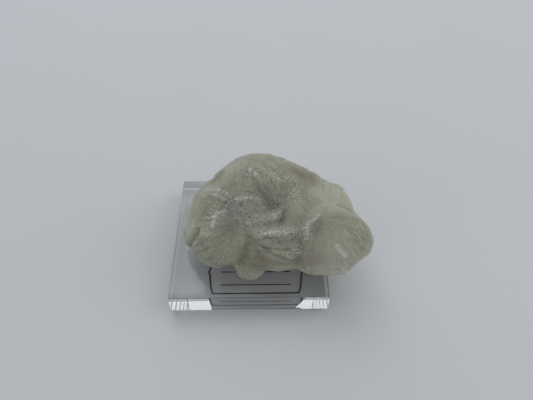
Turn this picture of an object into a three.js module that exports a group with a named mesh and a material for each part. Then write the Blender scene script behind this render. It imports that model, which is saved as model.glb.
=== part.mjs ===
// Prehnite specimen: one lumpy stone resting on a square clear acrylic block,
// with a strip of clear label film stuck flat under the block.
// Millimetres, +Z up, +Y to the back, origin at the centre of the label film's underside.
import * as THREE from 'three';
import { mergeVertices } from 'three/addons/utils/BufferGeometryUtils.js';

// Acrylic block: a 1 1/4 inch square sawn from 3/16 inch sheet
const BLOCK_SIDE = 31.75;
const BLOCK_THICKNESS = 4.76;

// Label film under the block, near its front edge
const LABEL_WIDTH = 20.2;
const LABEL_DEPTH = 13.3;
const LABEL_THICKNESS = 0.15;
const LABEL_FRONT_MARGIN = 0.6;
const LABEL_OFF_CENTRE = 1.4;

// The specimen stands on the film, so the block's centre lies behind and above the origin
const BLOCK_CENTRE = new THREE.Vector3(
  -LABEL_OFF_CENTRE,
  BLOCK_SIDE / 2 - LABEL_FRONT_MARGIN - LABEL_DEPTH / 2,
  LABEL_THICKNESS + BLOCK_THICKNESS / 2,
);

// The stone's surface is measured outward from a point inside it.
// Its coordinates are taken from the centre of the block's top face.
const STONE_HEART = new THREE.Vector3(4.0, -0.5, 4.2);
const STONE_HALF_SIZE = new THREE.Vector3(20.0, 14.5, 11.0);
const STONE_DETAIL = 19;
const STONE_CLEARANCE = 0.05;

// Underside: flat where the stone rests, lifting a little towards its rim
const REST_CENTRE = new THREE.Vector2(4.0, 0.0);
const REST_HALF_SIZE = new THREE.Vector2(16.0, 12.0);
const REST_FLAT_SHARE = 0.5;
const RIM_LIFT = 0.9;

// How hard one lobe gives way to the next, per millimetre
const LOBE_SHARPNESS = 1.0;
// How gently a lobe's surface turns away at its edge, and how fast it falls off past it
const LOBE_EDGE_EASE = 0.1;
const LOBE_FALL_OFF = 1.5;
// Crystal sheaves fan out from a lobe's pole, side by side like the staves of a barrel.
// Each keeps one level up to its edge zone, where it steps to the next.
// Their count starts at the back of the lobe, turned away from this direction.
const SHEAF_FRONT = new THREE.Vector3(0, -1, 0.3);
const SHEAF_WAVER = 0.6;
const SHEAF_WAVER_SIZE = 5.0;
const SHEAF_EDGE_START = 0.75;
const SHEAF_HOLLOW = 0.35;

// Uneven growth: size of the lumps and how far they stand out
const LUMPS = [
  { size: 5.0, height: 0.4, shift: 0.0 },
  { size: 2.4, height: 0.25, shift: 7.0 },
];

// Lobes of the grown-together mass. Radii run along the spine, across it and up,
// and the pole is the direction in which the crystal fans meet.
const LOBES = {
  body: {
    centre: [4.5, -0.8, 5.6], spine: [1, 0, 0], radii: [15.5, 10.8, 5.4],
    pole: [1, 0, 0], sheaves: 0, depth: 0,
  },
  dome: {
    centre: [1, 4.9, 7.5], spine: [1, 0.35, 0.1], radii: [9.8, 8.6, 8.9],
    pole: [-0.35, 0.3, 0.9], sheaves: 22, depth: 0.45,
  },
  domeRight: {
    centre: [7.6, 4.5, 6.6], spine: [1, -0.3, 0.1], radii: [7.1, 7.2, 7.7],
    pole: [0.4, 0, 0.9], sheaves: 15, depth: 0.4,
  },
  left: {
    centre: [-6.8, 1.2, 6], spine: [0.3, 1, 0.2], radii: [7.3, 5.6, 6.2],
    pole: [0.3, 1, 0.4], sheaves: 13, depth: 0.4,
  },
  leftShard: {
    centre: [-9, -3.6, 3.6], spine: [0.1, 1, 0], radii: [3.8, 4.6, 2.8],
    pole: [0.1, 1, 0], sheaves: 5, depth: 0.4,
  },
  frontLeft: {
    centre: [-5.8, -5, 5.4], spine: [0.5, 0.7, 0.6], radii: [6.6, 6.6, 5.2],
    pole: [0.6, -0.15, 0.8], sheaves: 18, depth: 0.4,
  },
  frontMiddle: {
    centre: [6.2, -7.1, 4.8], spine: [1, -0.1, -0.1], radii: [7.6, 4.9, 5],
    pole: [1, -0.1, -0.1], sheaves: 11, depth: 0.5,
  },
  frontToe: {
    centre: [0, -8.5, 2.6], spine: [0.1, 1, 0.2], radii: [4.7, 3.9, 2.6],
    pole: [0.1, 0.5, 1], sheaves: 7, depth: 0.3,
  },
  rightFan: {
    centre: [16.3, -6.3, 6.3], spine: [0.1, -0.2, 1], radii: [7.6, 7.6, 7.5],
    pole: [-0.2, -0.1, 1], sheaves: 22, depth: 0.4,
  },
  rightUpper: {
    centre: [14.5, 0.8, 6.3], spine: [0.2, -0.3, 1], radii: [6.8, 7.1, 6.9],
    pole: [0.05, -0.7, 0.7], sheaves: 18, depth: 0.4,
  },
  tip: {
    centre: [20.7, -6.2, 5.4], spine: [1, -0.2, 0.3], radii: [4, 3.8, 4],
    pole: [-0.6, 0, 0.8], sheaves: 9, depth: 0.3,
  },
  rightToe: {
    centre: [12.5, -9.9, 5], spine: [0.1, -0.2, 1], radii: [4.1, 3.7, 3.5],
    pole: [0.1, 0.4, 1], sheaves: 9, depth: 0.3,
  },
  rightKnob: {
    centre: [11.8, 4, 6.8], spine: [0.1, 0.2, 1], radii: [6, 4, 4],
    pole: [0.1, 0.2, 1], sheaves: 9, depth: 0.3,
  },
  flank: {
    centre: [8.6, -2.6, 6.6], spine: [0.1, 0.3, 1], radii: [6, 3.6, 5],
    pole: [0.1, 0.3, 1], sheaves: 11, depth: 0.3,
  },
};

// Ridges (height above zero) and valleys (below zero) along short lines on the surface
const FOLDS = {
  leftPit: { size: 2, height: -0.6, path: [[-5.3, -2.3, 10.8], [-4.2, -8, 9.8]] },
  diagonalValley: {
    size: 1.5, height: -0.6,
    path: [[1.4, -0.6, 14.2], [3.2, -1.2, 13.2], [4.9, -2.2, 11.6]],
  },
  rightPit: { size: 1, height: -0.6, path: [[7, -3.6, 11.3], [6.4, -6, 10.4], [4.2, -6.9, 10]] },
  frontLeftSeam: {
    size: 1.1, height: -0.5,
    path: [[-1.2, -6.7, 9.7], [-0.4, -8.6, 8.9], [-0.7, -10.6, 7.2], [-1.8, -11.4, 5]],
  },
  frontMiddleSeam: {
    size: 1, height: -0.5,
    path: [[1, -9.8, 8.2], [2.6, -11.8, 6.6], [6.9, -12.8, 5.2], [9.8, -12.2, 7]],
  },
  rightFanSeam: { size: 1, height: -0.3, path: [[11.9, -11.2, 11], [11.7, -13, 7.8]] },
  frontLeftHollow: { size: 1.8, height: -0.8, path: [[-4.6, -11.8, 3], [-3.4, -11.4, 1]] },
  rightNotch: { size: 1.3, height: -1.1, path: [[18.6, -3.2, 13], [22, -3, 10.5]] },
  saddle: { size: 1.3, height: 0.5, path: [[0.4, -6, 9.9], [3.7, -5, 10.5], [6, -3.2, 11]] },
  pitMound: { size: 1.3, height: 0.4, path: [[-2.2, -4.4, 10.2], [-1.2, -3.4, 10.6]] },
  frontLedge: {
    size: 0.8, height: 0.35,
    path: [[1.3, -7.5, 9.7], [4.5, -7.5, 10], [8, -7.3, 10.2], [10, -8.4, 11]],
  },
  brightCrest: {
    size: 0.6, height: 0.45,
    path: [
      [10.6, -10.2, 11], [10.6, -8.9, 12.2], [11.2, -7.8, 12.9],
      [12.5, -6.5, 13.6], [14, -4.6, 14], [15.5, -1.4, 13.2],
    ],
  },
  domeLedge: {
    size: 0.8, height: 0.35,
    path: [[-8, 0.6, 12], [-5.2, -0.2, 13.6], [-3, -1.8, 12.9], [0.4, -1.8, 13.4]],
  },
  leftLedge: { size: 0.8, height: 0.35, path: [[-7.2, -3.3, 10.6], [-6.4, -1.9, 11.2], [-5, -1.4, 11.9]] },
  rightSliver: { size: 0.5, height: 0.3, path: [[16.4, -12.4, 11.2], [18, -13.3, 9.4]] },
  frontLeftLedge: { size: 1, height: 0.3, path: [[-12, -7, 5.5], [-9, -7.6, 8.6], [-4.6, -8.2, 9.8]] },
  leftNotch: { size: 1, height: -1.3, path: [[-12.8, -7, 1.5], [-12.4, -6.9, 5], [-10.8, -6.2, 8]] },
};

function smooth(t) {
  const held = THREE.MathUtils.clamp(t, 0, 1);
  return held * held * (3 - 2 * held);
}

// A fixed value between 0 and 1 for each point of a whole-number grid
function gridValue(i, j, k) {
  const spread = Math.sin(i * 127.1 + j * 311.7 + k * 74.7) * 43758.5453;
  return spread - Math.floor(spread);
}

// Smooth lumps between -1 and 1, about one unit across
function lumps(point) {
  const cell = point.clone().floor();
  const inCell = point.clone().sub(cell);
  const weightX = smooth(inCell.x);
  const weightY = smooth(inCell.y);
  const weightZ = smooth(inCell.z);
  let total = 0;
  for (const dx of [0, 1]) {
    for (const dy of [0, 1]) {
      for (const dz of [0, 1]) {
        const shareX = dx ? weightX : 1 - weightX;
        const shareY = dy ? weightY : 1 - weightY;
        const shareZ = dz ? weightZ : 1 - weightZ;
        total += shareX * shareY * shareZ * gridValue(cell.x + dx, cell.y + dy, cell.z + dz);
      }
    }
  }
  return 2 * total - 1;
}

// Height of the stacked sheaves at a place counted in sheaves round the lobe
function sheafHeight(place, seed) {
  const index = Math.floor(place);
  const across = place - index;
  const here = gridValue(index, seed, 1);
  const next = gridValue(index + 1, seed, 1);
  const step = smooth((across - SHEAF_EDGE_START) / (1 - SHEAF_EDGE_START));
  return here + (next - here) * step - SHEAF_HOLLOW * (2 * across - 1) ** 2;
}

// Local axes of a lobe: along its spine, across it, and up
function lobeAxes(lobe) {
  const along = new THREE.Vector3(...lobe.spine).normalize();
  const reference = Math.abs(along.z) < 0.9 ? new THREE.Vector3(0, 0, 1) : new THREE.Vector3(0, 1, 0);
  const across = reference.cross(along).normalize();
  const up = along.clone().cross(across);
  return [along, across, up];
}

// A direction or a distance, seen by a lobe as if it were a ball of radius one
function asBall(lobe, place) {
  return new THREE.Vector3(...lobe.axes.map((axis) => axis.dot(place))).divide(lobe.radii);
}

const lobes = Object.values(LOBES).map((shape, seed) => {
  const lobe = { ...shape, seed, axes: lobeAxes(shape), radii: new THREE.Vector3(...shape.radii) };
  lobe.start = asBall(lobe, STONE_HEART.clone().sub(new THREE.Vector3(...shape.centre)));
  lobe.pole = asBall(lobe, new THREE.Vector3(...shape.pole)).normalize();
  const front = asBall(lobe, SHEAF_FRONT);
  lobe.front = front.addScaledVector(lobe.pole, -front.dot(lobe.pole)).normalize();
  lobe.side = lobe.front.clone().cross(lobe.pole);
  return lobe;
});

// How far from the heart the lobe's surface lies in a direction. A direction that misses
// the lobe gets a length that falls off smoothly, so that neighbours take over.
function lobeReach(lobe, direction) {
  const step = asBall(lobe, direction);
  const a = step.lengthSq();
  const b = step.dot(lobe.start);
  const c = lobe.start.lengthSq() - 1;
  const inside = b * b - a * c;
  const half = inside / Math.sqrt((Math.abs(inside) + LOBE_EDGE_EASE * a) / (1 + LOBE_EDGE_EASE));
  let reach = (-b + (inside > 0 ? half : LOBE_FALL_OFF * half)) / a;
  if (lobe.sheaves > 0) {
    const point = STONE_HEART.clone().addScaledVector(direction, reach);
    const local = lobe.start.clone().addScaledVector(step, reach).normalize();
    const turn = Math.atan2(local.dot(lobe.side), local.dot(lobe.front)) / (2 * Math.PI);
    const waver = lumps(point.divideScalar(SHEAF_WAVER_SIZE).addScalar(lobe.seed));
    const fade = Math.sqrt(Math.max(1 - local.dot(lobe.pole) ** 2, 0));
    reach += lobe.depth * fade * (sheafHeight(turn * lobe.sheaves + SHEAF_WAVER * waver, lobe.seed) - 0.5);
  }
  return reach;
}

const folds = Object.values(FOLDS).map((fold) => {
  const points = fold.path.map((place) => new THREE.Vector3(...place));
  const segments = points.slice(1).map((end, index) => new THREE.Line3(points[index], end));
  return { ...fold, segments };
});

// Ridges and valleys add up at a point of the surface
function foldHeight(point) {
  const nearest = new THREE.Vector3();
  let total = 0;
  for (const fold of folds) {
    let distance = Infinity;
    for (const segment of fold.segments) {
      segment.closestPointToPoint(point, true, nearest);
      distance = Math.min(distance, nearest.distanceTo(point));
    }
    total += fold.height * Math.exp(-((distance / fold.size) ** 2));
  }
  return total;
}

// Length at which a downward direction meets the underside
function undersideReach(direction) {
  const flat = (STONE_CLEARANCE - STONE_HEART.z) / direction.z;
  const x = (STONE_HEART.x + direction.x * flat - REST_CENTRE.x) / REST_HALF_SIZE.x;
  const y = (STONE_HEART.y + direction.y * flat - REST_CENTRE.y) / REST_HALF_SIZE.y;
  const away = (Math.hypot(x, y) - REST_FLAT_SHARE) / (1 - REST_FLAT_SHARE);
  const height = STONE_CLEARANCE + RIM_LIFT * smooth(away);
  return (height - STONE_HEART.z) / direction.z;
}

function stoneReach(direction) {
  const reaches = lobes.map((lobe) => lobeReach(lobe, direction));
  const longest = Math.max(...reaches);
  const blend = reaches.reduce((sum, reach) => sum + Math.exp((reach - longest) * LOBE_SHARPNESS), 0);
  let reach = longest + Math.log(blend) / LOBE_SHARPNESS;
  const point = STONE_HEART.clone().addScaledVector(direction, reach);
  reach += foldHeight(point);
  for (const lump of LUMPS) {
    reach += lump.height * lumps(point.clone().divideScalar(lump.size).addScalar(lump.shift));
  }
  return direction.z < -1e-6 ? Math.min(reach, undersideReach(direction)) : reach;
}

function stoneGeometry() {
  const ball = new THREE.IcosahedronGeometry(1, STONE_DETAIL);
  ball.deleteAttribute('normal');
  ball.deleteAttribute('uv');
  const geometry = mergeVertices(ball, 1e-5);
  const positions = geometry.getAttribute('position');
  const direction = new THREE.Vector3();
  for (let i = 0; i < positions.count; i += 1) {
    direction.fromBufferAttribute(positions, i).multiply(STONE_HALF_SIZE).normalize();
    const point = STONE_HEART.clone().addScaledVector(direction, stoneReach(direction));
    positions.setXYZ(i, point.x, point.y, point.z);
  }
  geometry.computeVertexNormals();
  return geometry;
}

// Prehnite, pale grey-green and frosted
function makeStone() {
  const material = new THREE.MeshStandardMaterial({ color: 0xa3a593, roughness: 0.45, metalness: 0 });
  const stone = new THREE.Mesh(stoneGeometry(), material);
  stone.name = 'prehnite';
  stone.position.copy(BLOCK_CENTRE);
  stone.position.z += BLOCK_THICKNESS / 2;
  return stone;
}

// Clear cast acrylic with sharp sawn edges
function makeBlock() {
  const material = new THREE.MeshStandardMaterial({
    color: 0xeef2f2, roughness: 0.05, metalness: 0, transparent: true, opacity: 0.35,
  });
  const block = new THREE.Mesh(new THREE.BoxGeometry(BLOCK_SIDE, BLOCK_SIDE, BLOCK_THICKNESS), material);
  block.name = 'acrylic_block';
  block.position.copy(BLOCK_CENTRE);
  return block;
}

// Clear label film, flat against the block's underside
function makeLabel() {
  const material = new THREE.MeshStandardMaterial({
    color: 0xe6e8e8, roughness: 0.25, metalness: 0, transparent: true, opacity: 0.4,
  });
  const label = new THREE.Mesh(new THREE.BoxGeometry(LABEL_WIDTH, LABEL_DEPTH, LABEL_THICKNESS), material);
  label.name = 'label_film';
  label.position.z = LABEL_THICKNESS / 2;
  return label;
}

const group = new THREE.Group();
group.add(makeStone(), makeBlock(), makeLabel());

export default group;
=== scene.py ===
import math
import bmesh
import bpy
import numpy as np
from mathutils import Matrix, Vector


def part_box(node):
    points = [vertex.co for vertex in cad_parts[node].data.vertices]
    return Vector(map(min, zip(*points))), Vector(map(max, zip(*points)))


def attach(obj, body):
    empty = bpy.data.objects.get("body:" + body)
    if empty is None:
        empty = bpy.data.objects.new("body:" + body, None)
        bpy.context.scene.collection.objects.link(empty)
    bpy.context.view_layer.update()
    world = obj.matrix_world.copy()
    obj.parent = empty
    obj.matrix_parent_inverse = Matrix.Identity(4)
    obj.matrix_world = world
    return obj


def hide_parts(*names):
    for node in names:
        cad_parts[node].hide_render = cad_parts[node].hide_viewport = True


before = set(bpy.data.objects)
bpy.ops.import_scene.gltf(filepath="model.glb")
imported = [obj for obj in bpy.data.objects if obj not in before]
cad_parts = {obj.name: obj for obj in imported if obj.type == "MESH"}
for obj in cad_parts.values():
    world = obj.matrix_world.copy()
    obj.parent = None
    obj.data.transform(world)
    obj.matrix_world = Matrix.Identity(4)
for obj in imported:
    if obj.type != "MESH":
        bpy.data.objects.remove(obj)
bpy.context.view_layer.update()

MM = 0.001

# The CAD solids' places: the block, and the label film that it stands on
BLOCK_LOW, BLOCK_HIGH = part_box("acrylic_block")
BLOCK_CENTRE = (BLOCK_LOW + BLOCK_HIGH) / 2
LABEL_LOW, LABEL_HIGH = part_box("label_film")

# The floor's side in metres, and how close its faint clouds are
FLOOR_SIZE = 3.0
FLOOR_CLOUDS_PER_METRE = 30.0

# Finishing sizes in millimetres, and the counts and the limit that go with them
BLOCK_EDGE_BEVEL = 0.12
BLOCK_BEVEL_STEPS = 2
FLOOR_GAP = 0.02
PRINT_THICKNESS = 0.02
PRINT_HEIGHT = 0.09
PRINT_LINE_WIDTH = 0.28
PRINT_CORNER_LIMIT = 0.5
RULED_LINE_WIDTH = 0.2
RULED_LINE_LENGTH = 14.5
RULED_LINE_PITCH = 3.1
RULED_LINE_COUNT = 3

# Label film: its outline from its centre, anticlockwise, trimmed at the two front corners
FILM_OUTLINE = ((-9.0, -6.65), (7.8, -6.65), (10.1, -1.3), (10.1, 6.65), (-10.1, 6.65), (-10.1, 0.7))

# Printed plaque frame: quarter outline from the middle of its front line to its side tip,
# as distances from the label's centre
PRINT_SHIFT = (-0.1, 0.55)
PRINT_QUARTER = ((0.0, 5.1), (8.75, 5.1), (9.2, 3.9), (9.6, 0.85), (9.9, 0.0))

# The stone's surface is measured outward from a point inside it.
# Its coordinates are taken from the centre of the block's top face.
STONE_HEART = np.array([4.0, -0.5, 4.2])
STONE_HALF_SIZE = np.array([20.0, 14.5, 11.0])
STONE_DIVISIONS = 97
STONE_CLEARANCE = 0.05
REST_CENTRE = (4.0, 0.0)
REST_HALF_SIZE = (16.0, 12.0)
REST_FLAT_SHARE = 0.5
RIM_LIFT = 0.9
LOBE_SHARPNESS = 1.0
LOBE_EDGE_EASE = 0.1
LOBE_FALL_OFF = 1.5
SHEAF_FRONT = (0, -1, 0.3)
SHEAF_WAVER = 0.6
SHEAF_WAVER_SIZE = 5.0
SHEAF_EDGE_START = 0.75
SHEAF_HOLLOW = 0.35

# Uneven growth: size, height and shift
LUMPS = ((5.0, 0.4, 0.0), (2.4, 0.25, 7.0))
# Finer relief that only this surface carries: crystal plates within each sheaf,
# streaks along the fans (width, length, height) and crumbly crystal ends (size, height, shift).
# Shifts and steps keep one pattern from repeating another.
PLATES_PER_SHEAF = 4
PLATE_SHARE = 0.4
PLATE_WAVER = 1.4
PLATE_WAVER_SIZE = 3.0
PLATE_WAVER_SHIFT = 40
PLATE_SEED_SHIFT = 50
STREAK_WAVER_SHARE = 0.4
STREAK_SEED_STEP = 9.0
BLENDED_PLATE_POWER = 3
STREAKS = ((0.8, 3.0, 0.06), (0.35, 1.5, 0.045))
STREAK_SEAM = 0.5
GRAINS = ((1.5, 0.16, 3.0), (0.5, 0.05, 5.0))
GRIT = ((0.7, 0.12, 11.0), (0.35, 0.08, 13.0))

# Uneven steps and a wide span, which scatter the values of a grid's points
GRID_STEPS = (127.1, 311.7, 74.7)
GRID_SPAN = 43758.5453

# Directions: how upright a spine may be before its reference turns, and the least fall of a
# downward direction. Points of the evenly divided ball are told apart to one part in this many.
UPRIGHT = 0.9
DOWNWARD = -1e-6
POINT_ROUNDING = 1e6

# Lobes: centre, spine, radii along the spine, across it and up, pole where the fans meet,
# sheaves round the pole, sheaf depth
LOBES = {
    "body": ((4.5, -0.8, 5.6), (1, 0, 0), (15.5, 10.8, 5.4), (1, 0, 0), 0, 0),
    "dome": ((1, 4.9, 7.5), (1, 0.35, 0.1), (9.8, 8.6, 8.9), (-0.35, 0.3, 0.9), 22, 0.45),
    "dome_right": ((7.6, 4.5, 6.6), (1, -0.3, 0.1), (7.1, 7.2, 7.7), (0.4, 0, 0.9), 15, 0.4),
    "left": ((-6.8, 1.2, 6), (0.3, 1, 0.2), (7.3, 5.6, 6.2), (0.3, 1, 0.4), 13, 0.4),
    "left_shard": ((-9, -3.6, 3.6), (0.1, 1, 0), (3.8, 4.6, 2.8), (0.1, 1, 0), 5, 0.4),
    "front_left": ((-5.8, -5, 5.4), (0.5, 0.7, 0.6), (6.6, 6.6, 5.2), (0.6, -0.15, 0.8), 18, 0.4),
    "front_middle": ((6.2, -7.1, 4.8), (1, -0.1, -0.1), (7.6, 4.9, 5), (1, -0.1, -0.1), 11, 0.5),
    "front_toe": ((0, -8.5, 2.6), (0.1, 1, 0.2), (4.7, 3.9, 2.6), (0.1, 0.5, 1), 7, 0.3),
    "right_fan": ((16.3, -6.3, 6.3), (0.1, -0.2, 1), (7.6, 7.6, 7.5), (-0.2, -0.1, 1), 22, 0.4),
    "right_upper": ((14.5, 0.8, 6.3), (0.2, -0.3, 1), (6.8, 7.1, 6.9), (0.05, -0.7, 0.7), 18, 0.4),
    "tip": ((20.7, -6.2, 5.4), (1, -0.2, 0.3), (4, 3.8, 4), (-0.6, 0, 0.8), 9, 0.3),
    "right_toe": ((12.5, -9.9, 5), (0.1, -0.2, 1), (4.1, 3.7, 3.5), (0.1, 0.4, 1), 9, 0.3),
    "right_knob": ((11.8, 4, 6.8), (0.1, 0.2, 1), (6, 4, 4), (0.1, 0.2, 1), 9, 0.3),
    "flank": ((8.6, -2.6, 6.6), (0.1, 0.3, 1), (6, 3.6, 5), (0.1, 0.3, 1), 11, 0.3),
}

# Ridges (height above zero) and valleys (below zero): size, height, line along the surface
FOLDS = {
    "left_pit": (2, -0.9, ((-5.3, -2.3, 10.8), (-4.2, -8, 9.8))),
    "diagonal_valley": (1.5, -0.6, ((1.4, -0.6, 14.2), (3.2, -1.2, 13.2), (4.9, -2.2, 11.6))),
    "right_pit": (1, -0.6, ((7, -3.6, 11.3), (6.4, -6, 10.4), (4.2, -6.9, 10))),
    "front_left_seam": (1.1, -0.5, ((-1.2, -6.7, 9.7), (-0.4, -8.6, 8.9),
                                    (-0.7, -10.6, 7.2), (-1.8, -11.4, 5))),
    "front_middle_seam": (1, -0.5, ((1, -9.8, 8.2), (2.6, -11.8, 6.6), (6.9, -12.8, 5.2), (9.8, -12.2, 7))),
    "right_fan_seam": (1, -0.3, ((11.9, -11.2, 11), (11.7, -13, 7.8))),
    "front_left_hollow": (1.8, -0.8, ((-4.6, -11.8, 3), (-3.4, -11.4, 1))),
    "right_notch": (1.3, -1.1, ((18.6, -3.2, 13), (22, -3, 10.5))),
    "saddle": (1.3, 0.5, ((0.4, -6, 9.9), (3.7, -5, 10.5), (6, -3.2, 11))),
    "pit_mound": (1.3, 0.4, ((-2.2, -4.4, 10.2), (-1.2, -3.4, 10.6))),
    "front_ledge": (0.8, 0.35, ((1.3, -7.5, 9.7), (4.5, -7.5, 10), (8, -7.3, 10.2), (10, -8.4, 11))),
    "bright_crest": (0.6, 0.45, ((10.6, -10.2, 11), (10.6, -8.9, 12.2), (11.2, -7.8, 12.9),
                                 (12.5, -6.5, 13.6), (14, -4.6, 14), (15.5, -1.4, 13.2))),
    "dome_ledge": (0.8, 0.35, ((-8, 0.6, 12), (-5.2, -0.2, 13.6), (-3, -1.8, 12.9), (0.4, -1.8, 13.4))),
    "left_ledge": (0.8, 0.35, ((-7.2, -3.3, 10.6), (-6.4, -1.9, 11.2), (-5, -1.4, 11.9))),
    "right_sliver": (0.5, 0.3, ((16.4, -12.4, 11.2), (18, -13.3, 9.4))),
    "front_left_ledge": (1, 0.3, ((-12, -7, 5.5), (-9, -7.6, 8.6), (-4.6, -8.2, 9.8))),
    "left_notch": (1, -1.3, ((-12.8, -7, 1.5), (-12.4, -6.9, 5), (-10.8, -6.2, 8))),
}

# Narrow grooves between crystal sheets: size, depth, line along the surface
GROOVES = (
    (0.3, 0.22, ((1.6, -9.3, 8.8), (2.7, -10.3, 8.8), (4.6, -11.5, 8.3),
                 (6.3, -11.9, 7.4), (7.5, -11.9, 6.9))),
    (0.25, 0.2, ((2.1, -10.5, 7.9), (4.0, -11.3, 8.3), (5.7, -11.9, 7.7))),
    (0.3, 0.2, ((5.6, -9.6, 9.6), (6.9, -10.1, 9.4), (8.2, -9.3, 9.5))),
    (0.35, 0.25, ((2.9, -9.0, 9.7), (4.6, -8.9, 9.9), (6.3, -8.8, 10.1))),
    (0.3, 0.2, ((2.5, -10.4, 8.6), (5.0, -10.8, 9.0), (7.8, -10.7, 8.6))),
)

# Colours of the crystal, painted light and shade among them: highlights, glints, a reflection, backlight, and
# shade in valleys, pits and grooves
CRYSTAL_DULL = "#a5a68e"
CRYSTAL_PALE = "#b8b9a1"
PALE_CRYSTAL_AND_HIGHLIGHT = "#d4d5c1"
DEEP_CRYSTAL_AND_SHADE = "#82836a"
CLEAR_CRYSTAL_AND_PIT_SHADE = "#7c827a"
PAINTED_REFLECTION = "#c6c9c0"
PAINTED_BACKLIGHT = "#dddcca"
CRUSHED_WHITE_AND_GLINT = "#f2f4ef"
BROWN_EARTH = "#8c7b66"

# Sizes within the crystal, millimetres: milky clouds, streaks of colour, speckle, painted glint specks,
# how deep light soaks in, and the relief of streaks and grain
CLOUD_SIZE = 3
COLOUR_STREAK_WIDTH = 0.4
COLOUR_STREAK_LENGTH = 1.8
SPECKLE_SIZE = 0.4
GLINT_SPECK_SIZE = 0.22
LIGHT_SOAK = 4.0
STREAK_RELIEF = 0.15
GRAIN_RELIEF = 0.1

# How strongly crystal and plastic bend light, and the share that the matt film lets straight on
CRYSTAL_IOR = 1.62
PLASTIC_IOR = 1.49
FILM_CLEARNESS = 0.12

# Saw marks on the block's edges: their width and depth in millimetres, and how their pattern's
# height is scaled to draw them out. Then the size of the patches in uneven ink, in millimetres.
SAW_MARK_WIDTH = 0.6
SAW_MARK_STRETCH = 0.08
SAW_MARK_DEPTH = 0.02
INK_PATCH_SIZE = 0.3

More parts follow.
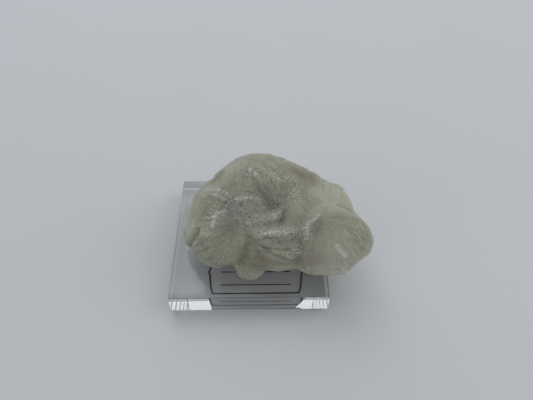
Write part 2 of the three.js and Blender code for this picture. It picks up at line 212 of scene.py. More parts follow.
# Patches of the surface: size and line along it.
# Crushed white crystal with painted glints along the crests; crumbly crystal ends, with painted shade and
# painted glints among them; clear patches, painted shade in pits, valleys and grooves in a cooler glassy
# tone; a pale painted reflection on smooth facets; painted backlight on narrow rims, where light would shine
# through from behind; and stain, brown earth in the seams.
PATCHES = {
    # Crushed white crystal with painted glints along the crests
    "frost_and_glint": (
        (0.4, ((10.8, -9.6, 10.3), (11.0, -8.9, 10.9), (11.2, -7.2, 11.7), (11.5, -6.9, 12.0),
               (12.5, -6.5, 12.7), (13.3, -5.7, 13.1))),
        (0.3, ((-2.7, -1.6, 12.6), (-1.2, -1.5, 13.0), (0.4, -1.4, 13.2))),
        (0.42, ((-10.0, 0.6, 11.5), (-8.8, 1.2, 12.3), (-7.3, 1.4, 12.6),
                (-5.8, 1.0, 12.7), (-4.5, -0.1, 12.9))),
        (0.35, ((-9.1, 0.1, 11.9), (-7.7, 0.3, 12.5), (-6.1, 0.0, 12.3), (-4.8, -0.8, 12.1))),
        (0.35, ((-4.7, -1.7, 11.1), (-5.9, -3.0, 10.9), (-7.2, -4.1, 10.8), (-7.2, -6.3, 10.3))),
        (0.3, ((1.6, -8.0, 10.0), (4.9, -7.7, 10.4), (8.8, -7.8, 10.4), (10.7, -7.5, 11.3))),
        (0.25, ((7.1, -11.2, 8.3), (9.4, -10.9, 7.8))),
        (0.5, ((16.2, -12.0, 11.3), (16.8, -12.7, 10.7), (17.8, -13.3, 9.6))),
        (0.3, ((0.1, 3.5, 16.1), (1.3, 2.5, 15.8))),
    ),
    # Crumbly crystal ends; their colour carries painted shade between the bits and painted glints on them
    "grit_with_glint_and_shade": (
        (1.6, ((-2.0, -4.5, 10.6), (2.5, -5.5, 10.7), (6.0, -3.2, 11.0))),
        (1.6, ((1.6, -8.0, 10.0), (4.9, -7.7, 10.4), (8.8, -7.8, 10.4), (10.7, -7.5, 11.3))),
        (1.8, ((0.4, -1.4, 13.2), (6.1, -1.7, 11.4), (8.2, -0.3, 12.7))),
        (1.6, ((-7.2, -4.1, 10.8), (-4.7, -1.7, 11.1), (-2.7, -1.6, 12.6))),
        (1.8, ((0.1, 3.5, 16.1), (3.3, 3.2, 15.6), (8.0, 2.5, 14.8))),
        (1.4, ((7.1, -11.2, 8.3), (9.4, -10.9, 7.8))),
    ),
    # A pale bluish painted reflection on smooth facets
    "painted_reflection": (
        (1.3, ((-3.4, -1.9, 11.6), (-1.7, -2.6, 11.7), (0.3, -2.6, 12.0))),
    ),
    # Painted shade in pits, valleys and grooves, in a cooler glassy crystal tone
    "clear": (
        (2.2, ((-2.4, -4.6, 10.6), (-4.0, -4.2, 10.7), (-4.9, -6.4, 10.4))),
        (1.4, ((1.5, -5.6, 10.7), (3.5, -6.0, 10.6))),
        (1.5, ((3.4, 0.2, 13.8), (3.8, -0.4, 13.2), (4.7, -1.5, 11.3))),
        (0.9, ((7.1, -3.9, 11.1), (6.6, -5.5, 10.3))),
        (1.4, ((12.7, -8.4, 12.3), (13.1, -7.4, 13.0))),
        (0.7, ((2.9, -9.0, 9.7), (5.6, -9.3, 9.8), (8.7, -8.9, 9.6))),
    ),
    # Painted backlight on narrow rims, where light would shine through from behind
    "painted_backlight": (
        (2.6, ((21.5, -9.5, 4.5), (24.0, -6.5, 5.0), (23.5, -3.5, 7.0))),
        (1.4, ((-12.5, -5.0, 2.0), (-9.0, -9.5, 2.0), (-5.0, -11.5, 2.0))),
        (1.3, ((2.0, -12.5, 2.0), (6.0, -13.0, 3.5), (11.0, -13.0, 4.0))),
        (2.0, ((14.0, -14.0, 5.0), (18.0, -13.5, 5.0), (21.5, -10.5, 4.5))),
        (3.0, ((13.5, -13.0, 7.5), (16.0, -12.0, 10.0))),
        (4.0, ((16.0, -1.0, 12.5), (18.0, 1.0, 11.0))),
        (3.0, ((-5.0, 3.5, 13.2), (-4.0, 5.0, 14.0))),
        (2.5, ((-11.0, -4.0, 7.0), (-11.5, -1.0, 8.0))),
        (2.2, ((14.0, 7.0, 9.5), (18.0, 5.0, 9.0), (20.5, 1.0, 8.5))),
        (1.4, ((-9.0, 7.0, 9.0), (-4.0, 11.0, 9.5), (2.0, 13.0, 9.5))),
    ),
    "stain": (
        (1.8, ((-0.2, -10.5, 6.5), (2.6, -11.9, 5.8))),
        (1.8, ((10.2, -12.2, 6.5), (12.7, -12.7, 8.2))),
        (1.1, ((8.9, 5.5, 14.1), (12.2, 4.5, 13.2), (13.4, 3.0, 12.8))),
        (1.2, ((-7.5, 3.9, 12.3), (-5.8, 5.2, 13.7))),
    ),
}


def smooth(t):
    """Eases 0 to 1, and holds beyond."""
    held = np.clip(t, 0, 1)
    return held * held * (3 - 2 * held)


def grid_value(i, j, k):
    """A fixed value between 0 and 1 for each point of a whole-number grid."""
    step_i, step_j, step_k = GRID_STEPS
    spread = np.sin(i * step_i + j * step_j + k * step_k) * GRID_SPAN
    return spread - np.floor(spread)


def lumps(points):
    """Smooth lumps between -1 and 1, about one unit across."""
    cell = np.floor(points)
    weight = smooth(points - cell)
    total = 0
    for dx in (0, 1):
        for dy in (0, 1):
            for dz in (0, 1):
                share_x = weight[:, 0] if dx else 1 - weight[:, 0]
                share_y = weight[:, 1] if dy else 1 - weight[:, 1]
                share_z = weight[:, 2] if dz else 1 - weight[:, 2]
                value = grid_value(cell[:, 0] + dx, cell[:, 1] + dy, cell[:, 2] + dz)
                total = total + share_x * share_y * share_z * value
    return 2 * total - 1


def sheaf_height(place, seed):
    """Height of stacked sheaves or plates at a place counted in them round the lobe."""
    index = np.floor(place)
    across = place - index
    here = grid_value(index, seed, 1)
    following = grid_value(index + 1, seed, 1)
    step = smooth((across - SHEAF_EDGE_START) / (1 - SHEAF_EDGE_START))
    return here + (following - here) * step - SHEAF_HOLLOW * (2 * across - 1) ** 2


def lobe_axes(spine):
    """Rows along the spine, across it and up."""
    along = np.array(spine, float) / np.linalg.norm(spine)
    reference = (0, 0, 1) if abs(along[2]) < UPRIGHT else (0, 1, 0)
    across = np.cross(reference, along)
    across /= np.linalg.norm(across)
    return np.stack([along, across, np.cross(along, across)])


def as_ball(axes, radii, places):
    """Directions or distances, seen by a lobe as if it were a ball of radius one."""
    return np.asarray(places, float) @ axes.T / np.array(radii)


def unit(rows):
    """The same directions with length one."""
    return rows / np.linalg.norm(rows, axis=-1, keepdims=True)


def lobe_reach(lobe, seed, directions):
    """Length to the lobe's surface from the heart, how proud its plates stand there,
    and the place on its fan: round the pole and away from it, in millimetres."""
    centre, spine, radii, pole, sheaves, depth = lobe
    axes = lobe_axes(spine)
    start = as_ball(axes, radii, STONE_HEART - np.array(centre))
    step = as_ball(axes, radii, directions)
    a = (step * step).sum(1)
    b = step @ start
    c = start @ start - 1
    inside = b * b - a * c
    half = inside / np.sqrt((np.abs(inside) + LOBE_EDGE_EASE * a) / (1 + LOBE_EDGE_EASE))
    reach = (-b + np.where(inside > 0, half, LOBE_FALL_OFF * half)) / a
    points = STONE_HEART + directions * reach[:, None]
    local = unit(start + step * reach[:, None])
    pole = unit(as_ball(axes, radii, pole))
    front = as_ball(axes, radii, SHEAF_FRONT)
    front = unit(front - front @ pole * pole)
    turn = np.arctan2(local @ np.cross(front, pole), local @ front) / (2 * math.pi)
    mean_radius = np.prod(radii) ** (1 / 3)
    bend = PLATE_WAVER * lumps(points / PLATE_WAVER_SIZE + seed + PLATE_WAVER_SHIFT)
    fan = np.stack([turn * 2 * math.pi * mean_radius + STREAK_WAVER_SHARE * bend,
                    np.arccos(np.clip(local @ pole, -1, 1)) * mean_radius,
                    np.full(len(reach), STREAK_SEED_STEP * seed)], axis=1)
    fade = np.sqrt(np.maximum(1 - (local @ pole) ** 2, 0))
    waver = lumps(points / SHEAF_WAVER_SIZE + seed)
    coarse = sheaf_height(turn * sheaves + SHEAF_WAVER * waver, seed) - 0.5
    fine = sheaf_height(turn * sheaves * PLATES_PER_SHEAF + bend, seed + PLATE_SEED_SHIFT) - 0.5
    reach = reach + depth * fade * (coarse + PLATE_SHARE * fine)
    return reach, fade * fine, fan


def line_distance(points, line):
    """Distance from each point to a line of straight stretches."""
    nearest = np.full(len(points), np.inf)
    for start, end in zip(line, line[1:]):
        start = np.array(start)
        run = np.array(end) - start
        share = np.clip((points - start) @ run / (run @ run), 0, 1)
        nearest = np.minimum(nearest, np.linalg.norm(points - start - share[:, None] * run, axis=1))
    return nearest


def underside_reach(directions):
    """Length at which a downward direction meets the underside."""
    down = np.minimum(directions[:, 2], DOWNWARD)
    flat = (STONE_CLEARANCE - STONE_HEART[2]) / down
    x = (STONE_HEART[0] + directions[:, 0] * flat - REST_CENTRE[0]) / REST_HALF_SIZE[0]
    y = (STONE_HEART[1] + directions[:, 1] * flat - REST_CENTRE[1]) / REST_HALF_SIZE[1]
    away = (np.hypot(x, y) - REST_FLAT_SHARE) / (1 - REST_FLAT_SHARE)
    height = STONE_CLEARANCE + RIM_LIFT * smooth(away)
    return (height - STONE_HEART[2]) / down


def geodesic(divisions):
    """Corner directions and triangles of an evenly divided icosahedron."""
    golden = (1 + 5 ** 0.5) / 2
    corners = []
    for i in (-1, 1):
        for j in (-golden, golden):
            corners += [(i, j, 0), (0, i, j), (j, 0, i)]
    corners = np.array(corners, float)
    # Neighbouring corners are 2 apart
    gaps = np.linalg.norm(corners[:, None] - corners[None], axis=2)
    near = np.isclose(gaps, 2)
    points, triangles = [], []
    count = len(corners)
    for a in range(count):
        for b in range(a + 1, count):
            for c in range(b + 1, count):
                if near[a, b] and near[b, c] and near[a, c]:
                    facing = np.cross(corners[b] - corners[a], corners[c] - corners[a]) @ corners[a]
                    others = (b, c) if facing > 0 else (c, b)
                    fill_face(corners[a], *corners[list(others)], divisions, points, triangles)
    points = unit(np.array(points))
    rounded = np.round(points * POINT_ROUNDING).astype(np.int64)
    first, index = np.unique(rounded, axis=0, return_index=True, return_inverse=True)[1:]
    return points[first], index.ravel()[np.array(triangles)]


def fill_face(a, b, c, divisions, points, triangles):
    """Divides one face of the icosahedron into rows of small triangles."""
    starts = []
    for i in range(divisions + 1):
        starts.append(len(points))
        for j in range(divisions + 1 - i):
            points.append(a + (b - a) * i / divisions + (c - a) * j / divisions)
    for i in range(divisions):
        for j in range(divisions - i):
            triangles.append((starts[i] + j, starts[i + 1] + j, starts[i] + j + 1))
            if i + j < divisions - 1:
                triangles.append((starts[i + 1] + j, starts[i + 1] + j + 1, starts[i] + j + 1))


def patch_share(points, patches):
    """How much of each point lies in a kind of patch, 0 to 1."""
    return np.max([np.exp(-(line_distance(points, line) / size) ** 2) for size, line in patches], axis=0)


def stone_surface(directions):
    """Surface points, and what the crystal is like at each one."""
    found = [lobe_reach(lobe, seed, directions) for seed, lobe in enumerate(LOBES.values())]
    reaches, plates, fans = (np.stack(column) for column in zip(*found))
    longest = reaches.max(0)
    shares = np.exp((reaches - longest) * LOBE_SHARPNESS)
    reach = longest + np.log(shares.sum(0)) / LOBE_SHARPNESS
    # How proud the fine plates stand, kept for a painted highlight on them
    weights = shares ** BLENDED_PLATE_POWER
    looks = {"plate_highlight": (plates * weights).sum(0) / weights.sum(0)}
    looks["fan"] = fans[reaches.argmax(0), np.arange(len(reach))]
    points = STONE_HEART + directions * reach[:, None]
    looks["relief"] = sum(height * np.exp(-(line_distance(points, line) / size) ** 2)
                          for size, height, line in FOLDS.values())
    for name, patches in PATCHES.items():
        looks[name] = patch_share(points, patches)
    reach = reach + looks["relief"]
    for size, height, shift in LUMPS + GRAINS:
        reach = reach + height * lumps(points / size + shift)
    for size, height, shift in GRIT:
        reach = reach + height * looks["grit_with_glint_and_shade"] * lumps(points / size + shift)
    for size, depth, line in GROOVES:
        cut = np.exp(-(line_distance(points, line) / size) ** 2)
        # The grooves also get painted shade, through the clear patches
        looks["clear"] = np.maximum(looks["clear"], cut)
        reach = reach - depth * cut
    second = np.sort(reaches, axis=0)[-2]
    clear_of_seam = smooth((longest - second) / STREAK_SEAM)
    for width, length, height in STREAKS:
        reach = reach + height * clear_of_seam * lumps(looks["fan"] / (width, length, 1))
    down = directions[:, 2] < DOWNWARD
    reach = np.where(down, np.minimum(reach, underside_reach(directions)), reach)
    return STONE_HEART + directions * reach[:, None], looks


def fit_inside(points, low, high):
    """Squeezes the fine surface a hair where it would stand outside the CAD solid's box."""
    middle = (low + high) / 2
    span = np.abs(points - middle).max(0) / ((high - low) / 2)
    return middle + (points - middle) / np.maximum(span, 1)


def linear(colour):
    """Linear colour from an sRGB hex value."""
    values = [int(colour[i:i + 2], 16) / 255 for i in (1, 3, 5)]
    return tuple(v / 12.92 if v <= 0.04045 else ((v + 0.055) / 1.055) ** 2.4 for v in values) + (1.0,)


def add(tree, kind, settings=None, links=None, **inputs):
    """Adds a node: its properties, its input values, and links from other nodes' sockets."""
    node = tree.nodes.new(kind)
    for key, value in (settings or {}).items():
        setattr(node, key, value)
    for key, value in inputs.items():
        node.inputs[key.replace("_", " ")].default_value = value
    for key, socket in (links or {}).items():
        tree.links.new(socket, node.inputs[key])
    return node


def share(tree, value, span):
    """Turns a span of values into 0 to 1."""
    node = add(tree, "ShaderNodeMapRange", links={"Value": value})
    node.inputs["From Min"].default_value, node.inputs["From Max"].default_value = span
    return node.outputs[0]


def product(tree, first, second):
    """One value times another."""
    return add(tree, "ShaderNodeMath", {"operation": "MULTIPLY"}, {0: first, 1: second}).outputs[0]


def blend(tree, value, span, below, above, most=1.0):
    """Blends from one colour (a link or a plain colour) to the next over a span of values,
    up to the most that the second one may cover."""
    amount = add(tree, "ShaderNodeMapRange", links={"Value": value})
    amount.inputs["From Min"].default_value, amount.inputs["From Max"].default_value = span
    amount.inputs["To Max"].default_value = most
    mix = add(tree, "ShaderNodeMix", {"data_type": "RGBA"}, {"Factor": amount.outputs[0]})
    for name, colour in (("A", below), ("B", above)):
        socket = next(s for s in mix.inputs if s.name == name and s.type == "RGBA")
        if isinstance(colour, tuple):
            socket.default_value = colour
        else:
            tree.links.new(colour, socket)
    return next(s for s in mix.outputs if s.type == "RGBA")


def new_material(name):
    """An empty material and its node tree."""
    material = bpy.data.materials.new(name)
    material.use_nodes = True
    material.node_tree.nodes.clear()
    return material, material.node_tree


def close_material(tree, shader):
    """Makes the shader the material's surface."""
    add(tree, "ShaderNodeOutputMaterial", links={"Surface": shader.outputs[0]})


def gated(tree, look, pattern, span):
    """A look of the surface, only where a pattern passes through a span."""
    return product(tree, look, share(tree, pattern, span))


def noise(tree, place, scale, detail, roughness=0.5):
    """A cloudy pattern of values, most of them near one half."""
    node = add(tree, "ShaderNodeTexNoise", links={"Vector": place},
               Scale=scale, Detail=detail, Roughness=roughness)
    return node.outputs["Fac"]


def prehnite_material():
    """Prehnite: translucent pale grey-green crystal fans with a frosted, waxy skin.
    Light soaks in a few millimetres, so valleys stay soft and narrow edges look paler. Over this the colour
    carries painted light and shade: highlights, glints, a reflection, backlight on narrow rims, and shade
    in valleys, pits and grooves."""
    material, tree = new_material("prehnite_frosted")
    place = add(tree, "ShaderNodeTexCoord").outputs["Object"]
    fan = add(tree, "ShaderNodeAttribute", {"attribute_name": "fan"}).outputs["Vector"]
    look = {name: add(tree, "ShaderNodeAttribute", {"attribute_name": name}).outputs["Fac"]
            for name in ("plate_highlight", "relief", *PATCHES)}

    # Clouds of milky and clearer crystal, streaks along the fans, speckle, and specks of painted glint
    along = add(tree, "ShaderNodeMapping", links={"Vector": fan})
    along.inputs["Scale"].default_value = (1 / COLOUR_STREAK_WIDTH, 1 / COLOUR_STREAK_LENGTH, 1.0)
    cloud = noise(tree, place, 1 / (CLOUD_SIZE * MM), 4.0, 0.6)
    streak = noise(tree, along.outputs[0], 1.0, 3.0, 0.65)
    speckle = noise(tree, place, 1 / (SPECKLE_SIZE * MM), 3.0, 0.7)
    glint_specks = noise(tree, place, 1 / (GLINT_SPECK_SIZE * MM), 2.0)

    # Layers over the cloudy crystal: value, the span that it blends over, colour and most cover
    layers = (
        (streak, (0.55, 0.64), PALE_CRYSTAL_AND_HIGHLIGHT, 0.6),
        (streak, (0.48, 0.3), DEEP_CRYSTAL_AND_SHADE, 0.45),
        # Painted highlight where the fine plates stand proud
        (look["plate_highlight"], (0.05, 0.55), PALE_CRYSTAL_AND_HIGHLIGHT, 0.3),
        (speckle, (0.5, 0.68), PALE_CRYSTAL_AND_HIGHLIGHT, 0.25),
        (speckle, (0.5, 0.32), DEEP_CRYSTAL_AND_SHADE, 0.3),
        # Loose crumbly bits, and painted shade between them, where the crystal ends break up
        (gated(tree, look["grit_with_glint_and_shade"], speckle, (0.48, 0.62)), (0, 1), PALE_CRYSTAL_AND_HIGHLIGHT, 0.3),
        (gated(tree, look["grit_with_glint_and_shade"], speckle, (0.5, 0.36)), (0, 1), DEEP_CRYSTAL_AND_SHADE, 0.95),
        # Painted shade in valleys and in the clear patches of pits and grooves, and painted backlight on
        # narrow rims
        (look["relief"], (-0.2, -1.0), DEEP_CRYSTAL_AND_SHADE, 0.35),
        (look["painted_backlight"], (0, 1), PAINTED_BACKLIGHT, 0.6),
        (look["clear"], (0.1, 0.9), CLEAR_CRYSTAL_AND_PIT_SHADE, 0.5),
        # Painted reflection on smooth facets, painted glints, also on the crumbly ends and crushed white
        # crests, and brown earth in the seams
        (gated(tree, look["painted_reflection"], speckle, (0.42, 0.56)), (0.05, 0.7), PAINTED_REFLECTION, 0.75),
        # Painted glints as white specks over the whole crystal
        (glint_specks, (0.58, 0.7), CRUSHED_WHITE_AND_GLINT, 0.4),
        # Painted glints on the crumbly crystal ends
        (gated(tree, look["grit_with_glint_and_shade"], glint_specks, (0.52, 0.62)), (0, 1), CRUSHED_WHITE_AND_GLINT, 0.5),
        # Painted glints along the crests, over crushed white crystal
        (gated(tree, look["frost_and_glint"], speckle, (0.42, 0.5)), (0.15, 0.8), CRUSHED_WHITE_AND_GLINT, 0.75),
        (product(tree, look["stain"], cloud), (0, 1), BROWN_EARTH, 0.9),
    )
    colour = blend(tree, cloud, (0.3, 0.7), linear(CRYSTAL_DULL), linear(CRYSTAL_PALE))
    for value, span, tint, most in layers:
        colour = blend(tree, value, span, colour, linear(tint), most)

    # Fine relief of the streaks, with a finer grain over it
    streak_bump = add(tree, "ShaderNodeBump", links={"Height": streak},
                      Strength=0.7, Distance=STREAK_RELIEF * MM)
    bump = add(tree, "ShaderNodeBump", links={"Height": speckle, "Normal": streak_bump.outputs[0]},
               Strength=0.5, Distance=GRAIN_RELIEF * MM)
    roughness = add(tree, "ShaderNodeMapRange", links={"Value": speckle}, To_Min=0.3, To_Max=0.6)
    sockets = {"Base Color": colour, "Roughness": roughness.outputs[0], "Normal": bump.outputs[0]}
    shader = add(tree, "ShaderNodeBsdfPrincipled", links=sockets, IOR=CRYSTAL_IOR, Subsurface_Weight=0.9,
                 Subsurface_Radius=(1.0, 1.0, 0.8), Subsurface_Scale=LIGHT_SOAK * MM)
    close_material(tree, shader)
    return material


def clear_shader(tree, ior, roughness, clearness=1.0):
    """Colourless plastic: how it bends light, how rough it is, and the share of light let through."""
    return add(tree, "ShaderNodeBsdfPrincipled", Base_Color=linear("#ffffff"), IOR=ior,
               Roughness=roughness, Transmission_Weight=clearness)


def acrylic_material(name, roughness, saw_marks):
    """Cast acrylic: clear and colourless. Polished faces mirror the room; sawn edges keep faint
    upright tool marks that break up the glints."""
    material, tree = new_material(name)
    shader = clear_shader(tree, PLASTIC_IOR, roughness)
    if saw_marks:
        place = add(tree, "ShaderNodeTexCoord").outputs["Object"]
        stretch = add(tree, "ShaderNodeMapping", links={"Vector": place})
        stretch.inputs["Scale"].default_value = (1, 1, SAW_MARK_STRETCH)
        marks = noise(tree, stretch.outputs[0], 1 / (SAW_MARK_WIDTH * MM), 3.0)
        bump = add(tree, "ShaderNodeBump", links={"Height": marks},
                   Strength=0.05, Distance=SAW_MARK_DEPTH * MM)
        tree.links.new(bump.outputs[0], shader.inputs["Normal"])
    close_material(tree, shader)
    return material


def wetted_material():
    """Where the film's glue wets the acrylic: light passes straight on, with nothing turned back,
    so the print shows sharp through the block."""
    material, tree = new_material("glue_line")
    close_material(tree, clear_shader(tree, 1.0, 0.0))
    return material


def film_material():
    """Outer face of matt label film: its fine tooth scatters most of the light, so the print
    stands on an even grey veil."""
    material, tree = new_material("label_film_matt_face")
    close_material(tree, clear_shader(tree, PLASTIC_IOR, 0.3, FILM_CLEARNESS))
    return material


def matt_material(name, scale, detail, tones, roughness):
    """A matt surface that wanders between two close tones."""
    material, tree = new_material(name)
    place = add(tree, "ShaderNodeTexCoord").outputs["Object"]
    ramp = add(tree, "ShaderNodeValToRGB", links={"Fac": noise(tree, place, scale, detail)})
    for element, tone in zip(ramp.color_ramp.elements, tones):
        element.color = linear(tone)
    shader = add(tree, "ShaderNodeBsdfPrincipled", links={"Base Color": ramp.outputs["Color"]},
                 Roughness=roughness)
    close_material(tree, shader)
    return material


def ink_material():
    """Black print: matt, slightly uneven ink."""
    return matt_material("ribbon_ink", 1 / (INK_PATCH_SIZE * MM), 2.0, ("#101112", "#2b2c2e"), 0.6)


def floor_material():
    """Matt pale table top, very slightly cloudy."""
    return matt_material("pale_floor", FLOOR_CLOUDS_PER_METRE, 3.0, ("#f4f6f9", "#f7f9fc"), 0.7)


def new_object(name, mesh, *materials):
    """An object in the scene with its mesh and materials."""
    piece = bpy.data.objects.new(name, mesh)
    bpy.context.scene.collection.objects.link(piece)
    for material in materials:
        mesh.materials.append(material)
    return piece


def keep(piece, node):
    """Hangs a piece on the root body, and hides the CAD node that it stands for, if any."""
    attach(piece, "root")
    if node:
        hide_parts(node)


def make_stone():
    """The stone's surface, with what the crystal is like kept at each of its points."""
    directions, triangles = geodesic(STONE_DIVISIONS)
    points, looks = stone_surface(unit(directions * STONE_HALF_SIZE))
    points = points * MM + np.array((BLOCK_CENTRE.x, BLOCK_CENTRE.y, BLOCK_HIGH.z))
    points = fit_inside(points, *(np.array(corner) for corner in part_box("prehnite")))
    mesh = bpy.data.meshes.new("prehnite_surface")
    mesh.from_pydata(points.tolist(), [], triangles.tolist())
    for name, values in looks.items():
        rows = values.ndim == 2
        attribute = mesh.attributes.new(name, "FLOAT_VECTOR" if rows else "FLOAT", "POINT")
        attribute.data.foreach_set("vector" if rows else "value", values.astype(np.float32).ravel())
    mesh.shade_smooth()
    keep(new_object("prehnite_stone", mesh, prehnite_material()), "prehnite")


def film_outline():
    """Corners of the film on the block's underside, anticlockwise, in metres."""
    centre = (LABEL_LOW + LABEL_HIGH) / 2
    return [Vector((centre.x + x * MM, centre.y + y * MM, LABEL_HIGH.z)) for x, y in FILM_OUTLINE]


def faces_down(face):
    """Whether a face of the block is part of its flat underside."""
    return face.normal.z < -0.999


def make_block():
    """The block: polished faces, sawn edges with a tiny bevel, and a patch wetted by the film's glue."""
    shape = bmesh.new()
    bmesh.ops.create_cube(shape, size=1.0)
    size = BLOCK_HIGH - BLOCK_LOW
    for corner in shape.verts:
        corner.co = BLOCK_CENTRE + Vector(a * b for a, b in zip(corner.co, size))
    bmesh.ops.bevel(shape, geom=list(shape.edges), offset=BLOCK_EDGE_BEVEL * MM,
                    segments=BLOCK_BEVEL_STEPS, profile=0.5, affect="EDGES")
    sides = [(start, Vector((end.y - start.y, start.x - end.x, 0)))
             for start, end in zip(film_outline(), film_outline()[1:] + film_outline()[:1])]
    for corner, outward in sides:
        underside = [face for face in shape.faces if faces_down(face)]
        edges = {edge for face in underside for edge in face.edges}
        corners = {corner for face in underside for corner in face.verts}
        bmesh.ops.bisect_plane(shape, geom=underside + list(edges) + list(corners),
                               plane_co=corner, plane_no=outward)
        shape.normal_update()
    for face in shape.faces:
        middle = face.calc_center_median()
        under_film = all((middle - corner).dot(outward) < 0 for corner, outward in sides)
        upright = abs(face.normal.z) < 0.5
        face.material_index = 2 if faces_down(face) and under_film else 1 if upright else 0
    mesh = bpy.data.meshes.new("block")
    shape.to_mesh(mesh)
    shape.free()
    piece = new_object("acrylic_display_block", mesh, acrylic_material("cast_acrylic_polished", 0.0, False),
                       acrylic_material("cast_acrylic_sawn_edge", 0.03, True), wetted_material())
    keep(piece, "acrylic_block")


def flat_solid(name, outline, low, high, *materials):
    """A closed flat solid from an outline running anticlockwise, in metres.
    Its top takes the last material."""
    count = len(outline)
    corners = [(x, y, low) for x, y in outline] + [(x, y, high) for x, y in outline]
    faces = [tuple(reversed(range(count))), tuple(range(count, 2 * count))]
    for i in range(count):
        j = (i + 1) % count
        faces.append((i, j, count + j, count + i))
    mesh = bpy.data.meshes.new(name)
    mesh.from_pydata(corners, [], faces)
    piece = new_object(name, mesh, *materials)
    mesh.polygons[1].material_index = len(materials) - 1
    return piece


def make_film():
    """The label film, glued to the block's underside."""
    outline = [(corner.x, corner.y) for corner in film_outline()]
    piece = flat_solid("label_film_strip", outline, LABEL_LOW.z, LABEL_HIGH.z,
                       film_material(), wetted_material())
    keep(piece, "label_film")


def print_place(x, y, z):
    """A place on the printed side of the film, in metres, from millimetres off the print's centre."""
    centre = (LABEL_LOW + LABEL_HIGH) / 2
    return Vector((centre.x + (PRINT_SHIFT[0] + x) * MM, centre.y + (PRINT_SHIFT[1] + y) * MM,
                   LABEL_LOW.z + (PRINT_HEIGHT + z) * MM))


def frame_ring():
    """The plaque's whole outline, from its quarter, anticlockwise."""
    ring = []
    for side_x, side_y, order in ((1, 1, -1), (-1, 1, 1), (-1, -1, -1), (1, -1, 1)):
        quarter = [Vector((side_x * x, side_y * y)) for x, y in PRINT_QUARTER][::order]
        ring += quarter[:-1]
    return ring


def make_print_frame(ink):
    """The plaque-shaped printed line, as a fine closed ring."""
    ring = frame_ring()
    count = len(ring)
    corners = []
    for z in (0, PRINT_THICKNESS):
        for offset in (PRINT_LINE_WIDTH / 2, -PRINT_LINE_WIDTH / 2):
            for i in range(count):
                before = (ring[i] - ring[i - 1]).normalized()
                after = (ring[(i + 1) % count] - ring[i]).normalized()
                side = Vector((before.y + after.y, -before.x - after.x)).normalized()
                reach = offset / max(side.dot(Vector((before.y, -before.x))), PRINT_CORNER_LIMIT)
                place = ring[i] + side * reach
                corners.append(print_place(place.x, place.y, z))
    faces = []
    for i in range(count):
        j = (i + 1) % count
        for a, b in ((0, 2), (2, 3), (3, 1), (1, 0)):
            faces.append((i + a * count, j + a * count, j + b * count, i + b * count))
    mesh = bpy.data.meshes.new("print_frame")
    mesh.from_pydata(corners, [], faces)
    keep(new_object("printed_frame_line", mesh, ink), None)


def ruled_lines_tree(ink):
    """Plain writing lines: one bar repeated at a fixed pitch."""
    tree = bpy.data.node_groups.new("ruled_lines", "GeometryNodeTree")
    sizes = {"Length": RULED_LINE_LENGTH * MM, "Width": RULED_LINE_WIDTH * MM,
             "Thickness": PRINT_THICKNESS * MM, "Pitch": RULED_LINE_PITCH * MM}
    tree.interface.new_socket("Geometry", in_out="INPUT", socket_type="NodeSocketGeometry")
    for name, value in sizes.items():
        tree.interface.new_socket(name, in_out="INPUT", socket_type="NodeSocketFloat").default_value = value
    count = tree.interface.new_socket("Count", in_out="INPUT", socket_type="NodeSocketInt")
    count.default_value = RULED_LINE_COUNT
    tree.interface.new_socket("Geometry", in_out="OUTPUT", socket_type="NodeSocketGeometry")
    given = add(tree, "NodeGroupInput").outputs
    size = add(tree, "ShaderNodeCombineXYZ",
               links={"X": given["Length"], "Y": given["Width"], "Z": given["Thickness"]})
    bar = add(tree, "GeometryNodeMeshCube", links={"Size": size.outputs[0]})
    pitch = add(tree, "ShaderNodeCombineXYZ", links={"Y": given["Pitch"]})
    places = add(tree, "GeometryNodeMeshLine", links={"Count": given["Count"], "Offset": pitch.outputs[0]})
    copies = add(tree, "GeometryNodeInstanceOnPoints",
                 links={"Points": places.outputs[0], "Instance": bar.outputs["Mesh"]})
    real = add(tree, "GeometryNodeRealizeInstances", links={"Geometry": copies.outputs[0]})
    inked = add(tree, "GeometryNodeSetMaterial", links={"Geometry": real.outputs[0]}, Material=ink)
    add(tree, "NodeGroupOutput", links={"Geometry": inked.outputs[0]})
    return tree


def make_ruled_lines(ink):
    """Ruled lines inside the printed frame, as plain mesh."""
    maker = new_object("ruled_lines_maker", bpy.data.meshes.new("ruled_lines_seed"))
    modifier = maker.modifiers.new("ruled_lines", "NODES")
    modifier.node_group = ruled_lines_tree(ink)
    evaluated = maker.evaluated_get(bpy.context.evaluated_depsgraph_get())
    mesh = bpy.data.meshes.new_from_object(evaluated)
    bpy.data.objects.remove(maker)
    first = -RULED_LINE_PITCH * (RULED_LINE_COUNT - 1) / 2
    shift = print_place(0, first, PRINT_THICKNESS / 2)
    for corner in mesh.vertices:
        corner.co += shift
    keep(new_object("ruled_writing_lines", mesh), None)


def make_floor():
    """The table, a hair below the film."""
    half = FLOOR_SIZE / 2
    level = LABEL_LOW.z - FLOOR_GAP * MM
    mesh = bpy.data.meshes.new("floor")
    mesh.from_pydata([(-half, -half, level), (half, -half, level), (half, half, level), (-half, half, level)],
                     [], [(0, 1, 2, 3)])
    new_object("floor", mesh, floor_material())


def area_light(name, place, target, size, power, colour, depth=None):
    """A soft light facing its target: round, or a rectangle where it has a depth."""
    light = bpy.data.lights.new(name, "AREA")
    light.shape = "RECTANGLE" if depth else "DISK"
    light.size = size
    if depth:
        light.size_y = depth
    light.energy = power
    light.color = linear(colour)[:3]
    lamp = bpy.data.objects.new(name, light)
    lamp.location = place
    lamp.rotation_euler = (Vector(target) - Vector(place)).to_track_quat("-Z", "Y").to_euler()
    bpy.context.scene.collection.objects.link(lamp)
    return lamp


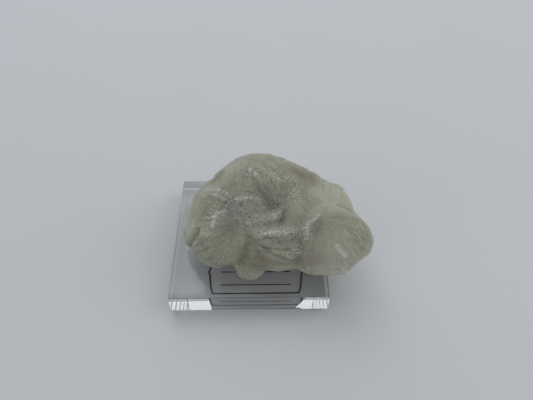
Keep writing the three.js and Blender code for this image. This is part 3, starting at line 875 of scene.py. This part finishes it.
def make_lights():
    """Pale room light, soft boxes behind, at the right and at the front left, and a ceiling panel."""
    world = bpy.data.worlds.new("studio")
    world.use_nodes = True
    background = world.node_tree.nodes["Background"]
    background.inputs["Color"].default_value = linear("#f2f6fb")
    background.inputs["Strength"].default_value = 0.28
    bpy.context.scene.world = world
    area_light("softbox_back", (-0.12, 0.5, 0.5), (0, 0, 0), 0.95, 1.32, "#f6faff")
    area_light("softbox_right", (0.5, 0.05, 0.4), (0, 0, 0), 0.5, 0.65, "#fffdfa")
    area_light("softbox_front_left", (-0.5, -0.35, 0.35), (0, 0, 0), 0.6, 0.3, "#fbfcff")
    # The left part of the block's polished top mirrors this panel. What is seen through the
    # block doesn't show it, so the glints in the front face stay small.
    panel = area_light("ceiling_panel", (-0.159, 0.387, 0.468), (-0.159, 0.387, 0),
                       0.18, 0.165, "#fbfcff", 0.25)
    panel.visible_transmission = False


# The photograph's viewpoint, found from the block's corners. Its place is taken from the
# centre of the block's top face, in metres, and its angles are in degrees. The sensor's width
# is in millimetres, and what is nearer than the limit, in metres, isn't seen.
CAMERA_PLACE = (0.0012, -0.06002, 0.07792)
CAMERA_DOWN = 48.17
CAMERA_YAW = 2.209
CAMERA_ROLL = 1.359
CAMERA_FOCAL_PIXELS = 448.8
IMAGE_WIDTH = 533
SENSOR_WIDTH = 36
NEAR_LIMIT = 0.005


def make_camera():
    """The camera at the photograph's viewpoint."""
    down, yaw, roll = (math.radians(a) for a in (CAMERA_DOWN, CAMERA_YAW, CAMERA_ROLL))
    forward = Vector((math.sin(yaw) * math.cos(down), math.cos(yaw) * math.cos(down), -math.sin(down)))
    right = Vector((math.cos(yaw), -math.sin(yaw), 0))
    up = right.cross(forward)
    tilted_right = math.cos(roll) * right + math.sin(roll) * up
    tilted_up = math.cos(roll) * up - math.sin(roll) * right
    camera = bpy.data.cameras.new("camera")
    camera.sensor_width = SENSOR_WIDTH
    camera.lens = CAMERA_FOCAL_PIXELS / IMAGE_WIDTH * SENSOR_WIDTH
    camera.clip_start = NEAR_LIMIT
    eye = bpy.data.objects.new("camera", camera)
    bpy.context.scene.collection.objects.link(eye)
    turned = Matrix((tilted_right, tilted_up, -forward)).transposed().to_4x4()
    block_top = Vector((BLOCK_CENTRE.x, BLOCK_CENTRE.y, BLOCK_HIGH.z))
    eye.matrix_world = Matrix.Translation(block_top + Vector(CAMERA_PLACE)) @ turned
    bpy.context.scene.camera = eye


bpy.context.scene.view_settings.view_transform = "Standard"
# Light that is turned back and forth inside the clear block
bpy.context.scene.cycles.glossy_bounces = 12
make_camera()
make_floor()
make_lights()
make_stone()
make_block()
make_film()
INK = ink_material()
make_print_frame(INK)
make_ruled_lines(INK)
